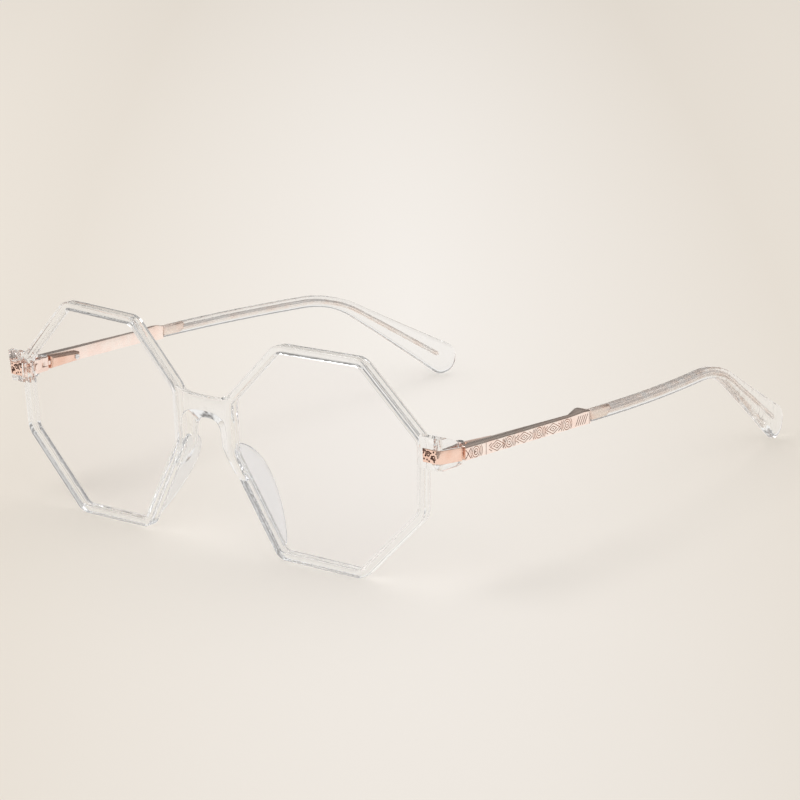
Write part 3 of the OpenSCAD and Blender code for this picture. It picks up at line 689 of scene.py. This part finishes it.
def buildLens():
    sheet = octagonSheet("lens", lens["inset"])
    modify(sheet, "SOLIDIFY", thickness=lens["thick"] * mm, offset=0)
    faceOut(sheet)
    # bevelled edge that sits in the rim's groove
    edit(sheet, "EDGE")
    pick(sheet, "edges", lambda e: len(e.link_faces) == 2
         and abs(e.verts[0].co.y - e.verts[1].co.y) > lens["thick"] * 0.8 * mm)
    bpy.ops.mesh.subdivide(number_cuts=1)
    bpy.ops.mesh.select_mode(type="VERT")
    pick(sheet, "verts", lambda v: all(abs(f.normal.y) < 0.5 for f in v.link_faces))
    leaveEdit()
    for vertex in sheet.data.vertices:
        if vertex.select:
            vertex.co += vertex.normal * lens["edgeOut"] * mm
    sheet.location.y = rim["depth"] / 2 * mm
    applyPlace(sheet)
    onRim(sheet)
    smooth(sheet, 25)
    bothSides(sheet, "lens", "front", "clear_lens", "lens")
    print("lenses made")


pad = {"deep": 6.4, "thick": 1.5, "length": 26.5, "rise": 1.8, "splay": 2, "fullest": 0.87, "rings": 41,
       "sides": 24, "bury": 0.12, "power": 1.1, "taper": (1.15, 0.7), "thinning": (0.35, 0.9), "squareness": 0.5}


def buildNosePad():
    corners = rimCorners()
    (fx, fz), (tx, tz) = corners[6], corners[5]
    along = Vector((tx - fx, 0, tz - fz)).normalized()
    across = Vector((-along.z, 0, along.x))  # away from the nose
    across = across if across.x > 0 else -across
    start = Vector((fx, rim["depth"], fz)) - along * pad["rise"] + across * (rim["face"] / 2 + 0.2)
    splay = math.radians(pad["splay"])
    back = Vector((0, 1, 0)) * math.cos(splay) + across * math.sin(splay)
    flat = across * math.cos(splay) - Vector((0, 1, 0)) * math.sin(splay)

    def place(ring, turn):
        # f runs along the pad, with its rings closer at both ends
        f = 0.5 - 0.5 * math.cos(math.pi * ring / (pad["rings"] - 1))
        f = 0.002 + 0.996 * f
        full, less = pad["taper"]
        reach = pad["deep"] / pad["fullest"] * math.sin(math.acos(1 - 2 * f)) ** pad["power"] * (full - less * f)
        c, s = softTurn(turn, pad["squareness"])
        deep = -pad["bury"] + (reach + pad["bury"]) * (0.5 + 0.5 * c)
        least, gain = pad["thinning"]
        thick = pad["thick"] / 2 * s * min(1, least + gain * reach / pad["deep"])
        point = start + along * (pad["length"] * f) + back * deep + flat * thick
        point.y = max(point.y, rim["depth"] - pad["bury"])
        return point * mm

    fin = tube("nosePad", pad["rings"], pad["sides"], place)
    fin.data.materials.append(materials["satin_pad"])
    onRim(fin)
    smooth(fin, 60)
    bothSides(fin, "nosePad", "front", "clear_frame", "nose_pad")
    print("nose pads made")


# Side bars, hinges and ear tips, in millimetres from the pivot

side = {"droop": 2.6, "tipMid": 2.1, "curlAt": 43.4, "curlRadius": 245, "bendAt": 99.5, "bendTurn": 31,
        "bendRadius": 32, "drop": 41.56}
bar = {"out": 3.2, "thick": 2.2, "start": -1.6, "length": 44, "height": 3.3, "collar": 5.4, "wedge": 0.7,
       "wedgeRun": 1.7, "wedgeOuter": 0.3, "crest": ((-0.8, -0.1), (-0.2, 0), (0.5, -0.05)), "topRadius": 0.5,
       "edgeRadius": 0.2, "waist": 1.0, "waistAt": 12.4, "pocket": 1.55}
ornament = {"lineWidth": 0.2, "middle": -0.18, "reach": 1.25, "rounds": (3.4, 14.9, 25.4, 35.4), "roundRadius": 1.22,
            "eye": 0.55, "dot": 0.2, "bows": ((1.72, 1.15), (2.2, 1.2)), "lozenges": (10.7, 20.1, 30.4),
            "lozengeStretch": 1.9, "tick": (2.35, 0.62, 1.2), "divider": 6.9, "cross": (0.75, 2.4, 0.66),
            "hatching": (0.5, 0.8, 5, -0.5), "endLine": 0.55, "depth": 0.3}


def buildBar():
    half, end = bar["height"] / 2, bar["start"] + bar["length"]
    apex = end - bar["collar"] / 2
    body = block("bar", Vector((bar["out"] - bar["thick"], bar["start"], -half)) * mm,
                 Vector((bar["out"], end, half)) * mm)
    # along the bar: how far its top rises into the wedge, and how far its inner face comes out at the waist
    stations = [(bar["waistAt"], 0, 0), (end - bar["collar"] - bar["wedgeRun"], 0, bar["waist"])]
    stations += [(apex + past, bar["wedge"] + more, 0) for past, more in bar["crest"]]
    edit(body)
    for y, lift, waist in stations:
        cutBy((0, y * mm, 0), (0, 1, 0))
    leaveEdit()
    for vertex in body.data.vertices:
        inner, upper = vertex.co.x < (bar["out"] - 0.1) * mm, vertex.co.z > 0
        for y, lift, waist in stations:
            if abs(vertex.co.y - y * mm) < touch:  # the wedge is high on its inner side
                vertex.co.z += lift * (upper and (1 if inner else bar["wedgeOuter"])) * mm
                vertex.co.x += waist * inner * mm
    edit(body, "EDGE")
    pick(body, "edges", lambda e: all(v.co.x > (bar["out"] - 0.1) * mm and v.co.z > 0 for v in e.verts)
         and abs(e.verts[0].co.y - e.verts[1].co.y) > 0.1 * mm)
    bpy.ops.mesh.bevel(offset=bar["topRadius"] * mm, segments=4, affect="EDGES")
    leaveEdit()
    soften(body, bar["edgeRadius"] * mm, 3, 50)
    pocket = rod("pocket", (0, 0, -4 * mm), (0, 0, 4 * mm), bar["pocket"] * mm, 40)
    combine(pocket, block("mouth", (0, (bar["start"] - 1) * mm, -4 * mm), (bar["pocket"] * mm, 0, 4 * mm)), "UNION")
    combine(body, pocket, "DIFFERENCE")
    return body


def barTools():
    # cutters for the ornament in the bar's outer face: rings between bows, lozenges between ticks, hatching
    face, width, reach = bar["out"] * mm, ornament["lineWidth"], ornament["reach"]
    collar = bar["length"] - bar["collar"]
    tools = []

    def at(u, z=0.0):
        # a place on the face: u along the bar from its front end
        return Vector((face, (bar["start"] + u) * mm, (ornament["middle"] + z) * mm))

    def line(u, z, length, turn, wide=width):
        tool = add("cube", "line", size=1, location=at(u, z), rotation=(turn, 0, 0))
        tool.scale = (ornament["depth"] * mm, wide * mm, length * mm)
        applyPlace(tool)
        tools.append(tool)

    def dot(u):
        tools.append(add("ico_sphere", "dot", subdivisions=2, radius=ornament["dot"] * mm, location=at(u)))

    def bow(u, bulge, radius, span):
        # an arc that bows towards one end of the bar, with its top at u
        tool = ringTool("bow", radius, width, (0, 0, 0))
        edit(tool)
        cutBy((0, bulge * math.sqrt(radius ** 2 - span ** 2) * mm, 0), (0, -bulge, 0), clear_outer=True, use_fill=True)
        leaveEdit()
        tool.location = at(u - bulge * radius)
        applyPlace(tool)
        tools.append(tool)

    start, share, slant = ornament["cross"]
    for turn in (slant, -slant):
        line(start, 0, share * reach, turn)
    radius, (near, far) = ornament["roundRadius"], ornament["bows"]
    for u in ornament["rounds"]:
        tools.append(ringTool("hoop", radius, width, at(u)))
        tools.append(ringTool("hoop", radius * ornament["eye"], width, at(u)))
        dot(u)
        for bulge in (1, -1):
            bow(u + bulge * near[0], bulge, *near)
            if 4 < u + bulge * far[0] < collar - 2:  # none past the crossed end or on the collar
                bow(u + bulge * far[0], bulge, *far)
    along, across, length = ornament["tick"]
    for u in ornament["lozenges"]:
        for size in (reach, reach * 0.5):
            tools.append(ringTool("lozenge", size, width, at(u), ornament["lozengeStretch"], 4))
        dot(u)
        for bulge in (1, -1):
            for up in (1, -1):
                line(u + bulge * along, up * across, length, bulge * up * 1.0, width * 0.85)
    line(ornament["divider"], 0, 2 * reach + 0.3, 0, width * 0.8)
    first, step, count, slant = ornament["hatching"]
    for k in range(count):
        line(collar + first + step * k, 0, 2 * reach, slant)
    line(bar["length"] - ornament["endLine"], 0, 2 * reach + 0.3, 0, width * 0.7)
    return join(tools, "ornament")


def buildBars():
    body = buildBar()
    cutter = barTools()
    cutter.data.materials.append(materials["patina"])
    body.data.materials.append(materials["bar_gold"])
    combine(body, cutter, "DIFFERENCE", use_self=True, material_mode="TRANSFER")
    smooth(body, 28)
    onSide(body)
    bothSides(body, "sideBar", "temple_SIDE", "rose_gold", "temple_bar")
    print("side bars made")


housing = {"in": -1.3, "out": 0.99, "start": 1.7, "length": 9.7, "half": 1.55, "taper": 0.5, "edgeRadius": 0.6,
           "screwFromEnd": 1.3, "screwRoom": 0.44, "rodRoom": 0.5, "rodX": -0.2, "rodReach": 8}


def buildHousing():
    end = housing["start"] + housing["length"]
    shell = block("housing", Vector((housing["in"], housing["start"], -housing["half"])) * mm,
                  Vector((housing["out"], end, housing["half"])) * mm)
    edit(shell)
    for way in (1, -1):
        cutBy((0, 0, way * housing["half"] * mm), (0, housing["taper"], way * end), clear_outer=True, use_fill=True)
    leaveEdit()
    faceOut(shell)
    edit(shell, "EDGE")
    pick(shell, "edges", lambda e: all(v.co.x < 0 for v in e.verts))
    bpy.ops.mesh.bevel(offset=housing["edgeRadius"] * mm, segments=5, affect="EDGES")
    leaveEdit()
    y = (end - housing["screwFromEnd"]) * mm
    combine(shell, rod("screwRoom", (-2 * mm, y, 0), (2 * mm, y, 0), housing["screwRoom"] * mm), "DIFFERENCE")
    combine(shell, rod("rodRoom", (housing["rodX"] * mm, 0, 0), (housing["rodX"] * mm, housing["rodReach"] * mm, 0),
                       housing["rodRoom"] * mm), "DIFFERENCE")
    smooth(shell, 40)
    onSide(shell)
    bothSides(shell, "springHousing", "temple_SIDE", "rose_gold", "flex_housing")
    print("spring housings made")


hingeScrew = {"head": 0.5, "shank": 0.63, "soft": 0.14, "slotHalf": 0.12, "slotDeep": 0.24}
lockScrew = {"end": 1.4, "radius": 0.4, "headRadius": 0.7, "head": 0.3, "soft": 0.1, "slotHalf": 0.1, "slotFloor": 0.16}


def buildScrews():
    # hinge screw: round slotted head over the upper barrel
    low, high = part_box("hinge_screw_left")
    middle, head = (low + high) / 2, (high.x - low.x) / 2
    under = high.z - hingeScrew["head"] * mm
    shank = rod("hingeScrew", (middle.x, middle.y, low.z), (middle.x, middle.y, under), head * hingeScrew["shank"])
    cap = rod("cap", (middle.x, middle.y, under), (middle.x, middle.y, high.z), head, 40)
    soften(cap, hingeScrew["soft"] * mm, 3, 50)
    combine(shank, cap, "UNION")
    half = hingeScrew["slotHalf"] * mm
    combine(shank, block("slot", (middle.x - 2 * mm, middle.y - half, high.z - hingeScrew["slotDeep"] * mm),
                         (middle.x + 2 * mm, middle.y + half, high.z + mm)), "DIFFERENCE")
    smooth(shank)
    bothSides(shank, "hingeScrew", "front", "steel", "hinge_screw")
    # lock screw at the housing's rear end
    y = (housing["start"] + housing["length"] - housing["screwFromEnd"]) * mm
    seat, half = housing["in"] * mm, lockScrew["slotHalf"] * mm
    pin = rod("lockScrew", (seat, y, 0), (lockScrew["end"] * mm, y, 0), lockScrew["radius"] * mm)
    button = rod("button", ((housing["in"] - lockScrew["head"]) * mm, y, 0), (seat, y, 0),
                 lockScrew["headRadius"] * mm, 40)
    soften(button, lockScrew["soft"] * mm, 3, 50)
    combine(pin, button, "UNION")
    combine(pin, block("slot", (-2 * mm, y - 2 * mm, -half),
                       ((housing["in"] - lockScrew["slotFloor"]) * mm, y + 2 * mm, half)), "DIFFERENCE")
    smooth(pin)
    onSide(pin)
    bothSides(pin, "lockScrew", "temple_SIDE", "steel", "housing_screw")
    print("screws made")


def sideLine(past, up, out):
    # point of the left tip: past the ear bend's corner along its line, up and out from it
    turn = math.radians(side["bendTurn"])
    reach = side["bendRadius"] * math.tan(turn / 2)
    if past < -reach:
        s, h, a = side["bendAt"] + past, 0.0, 0.0
    elif past > reach:
        s, h, a = side["bendAt"] + past * math.cos(turn), -past * math.sin(turn), turn
    else:
        a = (past + reach) / (2 * reach) * turn
        s, h = side["bendAt"] - reach + side["bendRadius"] * math.sin(a), -side["bendRadius"] * (1 - math.cos(a))
    s, h = s + up * math.sin(a), h + up * math.cos(a)
    curl = min(max(s - side["curlAt"], 0), side["bendAt"] - side["curlAt"]) / side["curlRadius"]
    rest = max(s - side["bendAt"], 0)
    x = side["tipMid"] - side["curlRadius"] * (1 - math.cos(curl)) - rest * math.sin(curl) + out * math.cos(curl)
    y = min(s, side["curlAt"]) + (side["curlRadius"] + out) * math.sin(curl) + rest * math.cos(curl)
    droop = math.radians(side["droop"])
    c, s = math.cos(droop), math.sin(droop)
    return pivot + Vector((x, y * c + h * s, h * c - y * s)) * mm


tip = {"start": 42.42, "height": 3.0, "thick": 2.5, "endRadius": 4.3, "flare": 1.2, "rings": 90, "endRings": 22,
       "sides": 32, "squareness": 0.55, "lastTurn": 89.3, "endThinning": 0.4}


def tipHalf(past):
    half = tip["height"] / 2
    return half + (tip["endRadius"] - half) * (max(past, 0) / side["drop"]) ** tip["flare"]


def buildTip():
    begin = tip["start"] - side["bendAt"]
    straight = tip["rings"] - tip["endRings"]

    def place(ring, turn):
        if ring < straight:
            past = begin + (side["drop"] - begin) * ring / (straight - 1)
            half, thick = tipHalf(past), tip["thick"] / 2
        else:
            a = math.radians(tip["lastTurn"]) * (ring - straight + 1) / tip["endRings"]
            past = side["drop"] + tip["endRadius"] * math.sin(a)
            half, thick = tip["endRadius"] * math.cos(a), tip["thick"] / 2 * math.cos(a) ** tip["endThinning"]
        c, s = softTurn(turn, tip["squareness"])
        return sideLine(past, half * s, thick * c)

    sleeve = tube("earTip", tip["rings"], tip["sides"], place)
    smooth(sleeve, 50)
    bothSides(sleeve, "earTip", "temple_SIDE", "clear_tip", "temple_tip")
    print("ear tips made")


core = {"height": 1.8, "thick": 0.9, "length": 7.8, "wire": 1.2, "lift": 0.35, "liftRun": 10, "rings": 110, "sides": 20,
        "endGap": 1.6, "overlap": 0.6, "lowChamfer": (1.1, 1.6), "topChamfer": (0.2, 0.6), "edgeRadius": 0.12,
        "endRadius": 0.12}


def buildCore():
    # flat core plate with its chamfered end
    half, begin = core["height"] / 2, tip["start"]
    flat = block("coreWire", Vector((side["tipMid"] - core["thick"] / 2, begin, -half)) * mm,
                 Vector((side["tipMid"] + core["thick"] / 2, begin + core["length"], half)) * mm)
    edit(flat)
    end = begin + core["length"]
    (lowRise, lowRun), (topRise, topRun) = core["lowChamfer"], core["topChamfer"]
    cutBy((0, end * mm, (lowRise - half) * mm), (0, lowRise, -lowRun), clear_outer=True, use_fill=True)
    cutBy((0, end * mm, (half - topRise) * mm), (0, topRise, topRun), clear_outer=True, use_fill=True)
    leaveEdit()
    faceOut(flat)
    soften(flat, core["edgeRadius"] * mm, 2, 30)
    onSide(flat)
    first = begin - side["bendAt"] + core["length"] - core["overlap"]
    last = side["drop"] - core["endGap"]

    def place(ring, turn):
        past = first + (last - first) * ring / (core["rings"] - 1)
        radius = core["wire"] / 2
        fromEnd = (last - past) / radius
        if fromEnd < 1:  # round end
            least = core["endRadius"]
            radius *= least + (1 - least) * math.sqrt(max(1 - (1 - fromEnd) ** 2, 0))
        up = core["lift"] * max(min(past / core["liftRun"], 1), 0)
        return sideLine(past, up + radius * math.sin(turn), radius * math.cos(turn))

    wire = tube("wire", core["rings"], core["sides"], place)
    flat.data.materials.append(materials["bar_gold"])
    wire.data.materials.append(materials["core_metal"])
    combine(flat, wire, "UNION", material_mode="TRANSFER")
    smooth(flat, 40)
    bothSides(flat, "coreWire", "temple_SIDE", "core_metal", "core_wire")
    print("core wires made")


def paintNodes():
    # nodes whose own shape stays: leaves, rivets, sliders and springs of the hinges
    for name, slotName in (("hinge_leaf", "hinge"), ("leaf_rivets", "hinge"), ("flex_slider", "hinge"),
                           ("flex_spring", "spring_steel")):
        for sideName in ("left", "right"):
            node = frame["nodes"][name + "_" + sideName]
            node.data.materials.clear()
            node.data.materials.append(materials[slotName])
    print("hinge parts painted")


buildFront()
buildCornerPlate()
buildLens()
buildNosePad()
buildBars()
buildHousing()
buildScrews()
buildTip()
buildCore()
paintNodes()


# Studio

# the floor's centre, middle and edge colours, placed by glow and glowReach, are a painted pool of light on the paper
studio = {"floorSize": 8.0, "mirrored": "#FFFBF7", "centre": "#F3EEE8", "middle": "#E6DED3", "edge": "#E9E1D6",
          "glow": (-0.11, 0.12, 0), "glowReach": (0.15, 1.3), "skyLight": 0.74,
          # by height: what is seen through the clear plastic, and what the surfaces reflect
          "room": [(0.0, "#FAF8F5"), (0.13, "#F2F0ED"), (0.17, "#6A6765"), (0.21, "#DDDBD8"), (0.25, "#4E4C4A"),
                   (0.29, "#B4B1AE"), (0.34, "#4E4C4A"), (0.38, "#F2F0ED"), (0.45, "#DDDBD8"), (0.5, "#5A5856"),
                   (0.56, "#C8C5C2"), (0.66, "#6A6765"), (0.76, "#DDDBD8"), (1.0, "#9A9793")],
          "ceiling": [(0.0, "#F2ECE4"), (0.05, "#DDD6CE"), (0.12, "#827E7A"), (0.27, "#5A5653"), (0.45, "#85827F"),
                      (1.0, "#A9A6A3")],
          "bounces": 24, "lampPlace": (-0.5, -0.3, 1.5), "lampSize": 1.0, "lampPower": 9.0}


def buildFloor():
    floor = add("plane", "floor", size=studio["floorSize"])
    material, tree, shader, place = startMaterial("paperFloor", {"Roughness": 0.9, "Specular IOR Level": 0.1})
    # painted pool of light: the paper is lightest round the glasses, darkest in a ring further out and a little lighter
    # again beyond
    across, deep = studio["glowReach"]
    centred = addNode(tree, "Mapping", {"Vector": place, "Location": studio["glow"], "Scale": (across, deep, 1),
                                        "Rotation": (0, 0, math.radians(camera["azimuth"]))}, vector_type="TEXTURE")
    paintedLightPool = addNode(tree, "TexGradient", {"Vector": centred.outputs["Vector"]}, gradient_type="SPHERICAL")
    colour = ramp(tree, paintedLightPool.outputs["Fac"], [(0.0, linear(studio["edge"])), (0.3, linear(studio["middle"])),
                                              (1.0, linear(studio["centre"]))])
    tree.links.new(colour, shader.inputs["Base Color"])
    # reflections see the paper at full white, as metal does under a wide softbox
    path = addNode(tree, "LightPath").outputs
    mirror = addNode(tree, "Math", {0: path["Is Glossy Ray"], 1: path["Is Transmission Ray"]}, operation="SUBTRACT",
                     use_clamp=True)
    white = addNode(tree, "Emission", {"Color": linear(studio["mirrored"]), "Strength": 1.0}).outputs["Emission"]
    mixed = addNode(tree, "MixShader", {0: mirror.outputs[0], 1: shader.outputs["BSDF"], 2: white})
    tree.links.new(mixed.outputs[0], tree.nodes["Material Output"].inputs["Surface"])
    floor.data.materials.append(material)


def buildWorld():
    world = bpy.data.worlds.new("studio")
    bpy.context.scene.world = world
    world.use_nodes = True
    tree = world.node_tree
    direction = addNode(tree, "TexCoord").outputs["Generated"]
    height = addNode(tree, "SeparateXYZ", {"Vector": direction}).outputs["Z"]
    path = addNode(tree, "LightPath").outputs
    room = ramp(tree, height, [(rise, linear(colour)) for rise, colour in studio["room"]])
    ceiling = ramp(tree, height, [(rise, linear(colour)) for rise, colour in studio["ceiling"]])
    through = addNode(tree, "Math", {0: path["Is Camera Ray"], 1: path["Is Transmission Ray"]}, operation="MAXIMUM")
    shine = addNode(tree, "Mix", {0: through.outputs[0], 6: ceiling, 7: room}, data_type="RGBA")
    seen = addNode(tree, "Background", {"Color": shine.outputs[2], "Strength": 1.0}).outputs["Background"]
    light = addNode(tree, "Background", {"Color": (1, 1, 1, 1), "Strength": studio["skyLight"]}).outputs["Background"]
    either = addNode(tree, "Math", {0: through.outputs[0], 1: path["Is Glossy Ray"]}, operation="MAXIMUM")
    mixed = addNode(tree, "MixShader", {0: either.outputs[0], 1: light, 2: seen})
    tree.links.new(mixed.outputs[0], tree.nodes["World Output"].inputs["Surface"])


def buildLamp():
    lamp = bpy.data.lights.new("softbox", "AREA")
    lamp.shape = "SQUARE"
    lamp.size = studio["lampSize"]
    lamp.energy = studio["lampPower"]
    holder = bpy.data.objects.new("softbox", lamp)
    bpy.context.scene.collection.objects.link(holder)
    holder.location = studio["lampPlace"]
    holder.rotation_euler = (-holder.location).to_track_quat("-Z", "Y").to_euler()


camera = {"place": (0.64222, -0.70455, 0.28723), "azimuth": 42.625, "elevation": 15.754, "roll": -2.622, "lens": 180.15}


def buildCamera():
    azimuth, elevation, roll = [math.radians(camera[k]) for k in ("azimuth", "elevation", "roll")]
    flat = math.cos(elevation)
    ahead = Vector((-math.sin(azimuth) * flat, math.cos(azimuth) * flat, -math.sin(elevation)))
    level = Vector((math.cos(azimuth), math.sin(azimuth), 0))
    up = level.cross(ahead)
    right = level * math.cos(roll) + up * math.sin(roll)
    top = up * math.cos(roll) - level * math.sin(roll)
    data = bpy.data.cameras.new("camera")
    data.lens = camera["lens"]
    data.sensor_width = 36
    data.clip_start = 0.01
    holder = bpy.data.objects.new("camera", data)
    bpy.context.scene.collection.objects.link(holder)
    holder.matrix_world = Matrix.Translation(camera["place"]) @ Matrix((right, top, -ahead)).transposed().to_4x4()
    bpy.context.scene.camera = holder


buildFloor()
buildWorld()
buildLamp()
buildCamera()
bpy.context.scene.view_settings.view_transform = "Standard"
for kind in ("max", "glossy", "transmission"):
    setattr(bpy.context.scene.cycles, kind + "_bounces", studio["bounces"])  # light runs on inside the plastic
print("studio made")
